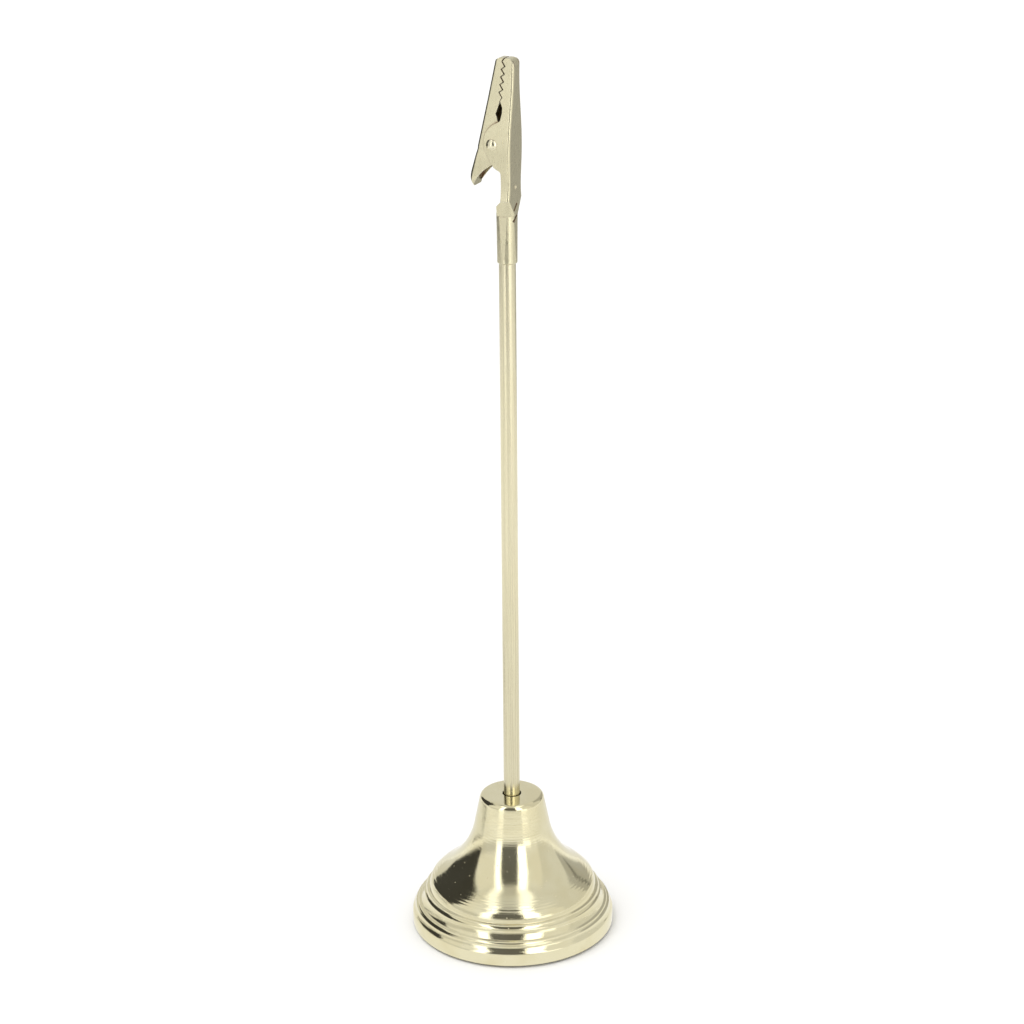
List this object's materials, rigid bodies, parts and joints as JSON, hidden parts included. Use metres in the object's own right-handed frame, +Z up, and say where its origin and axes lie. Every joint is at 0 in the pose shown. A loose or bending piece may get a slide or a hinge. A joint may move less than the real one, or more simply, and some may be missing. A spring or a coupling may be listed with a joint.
{
  "type": "table number holder",
  "caption": "Tall rod on a weighted bell foot with a sprung alligator clip on top that grips a table number, place card or photo.",
  "frame": {"origin": "centre of the foot's underside, on the surface the holder stands on", "axes": "+Z up the rod; +X towards the back of the fixed jaw; the jaws open in the XZ plane and the rivet lies along Y"},
  "size_m": [0.0508, 0.0508, 0.2207],
  "materials": {
    "polished_plate": "polished pale gold plating on spun steel, fine turned rings",
    "satin_rod": "satin pale gold plating with lengthwise drawing marks",
    "clip_plate": "satin pale gold plating on stamped steel sheet",
    "rivet_plate": "pale gold plated rivet, slightly brighter than the sheet",
    "spring_wire": "drawn spring wire",
    "zinc_fastener": "zinc plated",
    "iron_slug": "as cast",
    "pad_foam": "closed-cell foam, fine pores"
  },
  "bodies": {
    "stand": {"base_shell": "polished_plate", "base_weight": "iron_slug", "foot_pad": "pad_foam", "stem": "satin_rod", "upper_nut": "zinc_fastener", "flat_washer": "zinc_fastener", "spring_washer": "zinc_fastener", "lower_nut": "zinc_fastener", "fixed_jaw": "clip_plate", "pivot_rivet": "rivet_plate", "torsion_spring": "spring_wire"},
    "jaw": {"moving_jaw": "clip_plate"}
  },
  "joints": [
    {"name": "jaw_hinge", "type": "hinge", "parent": "stand", "child": "jaw", "pos_m": [-0.00215, 0, 0.201], "axis": [0, -1, 0], "range_deg": [0, 30], "stiffness_Nm_per_rad": 0.04, "springref_deg": -68.75, "deforming": ["torsion_spring"]}
  ]
}
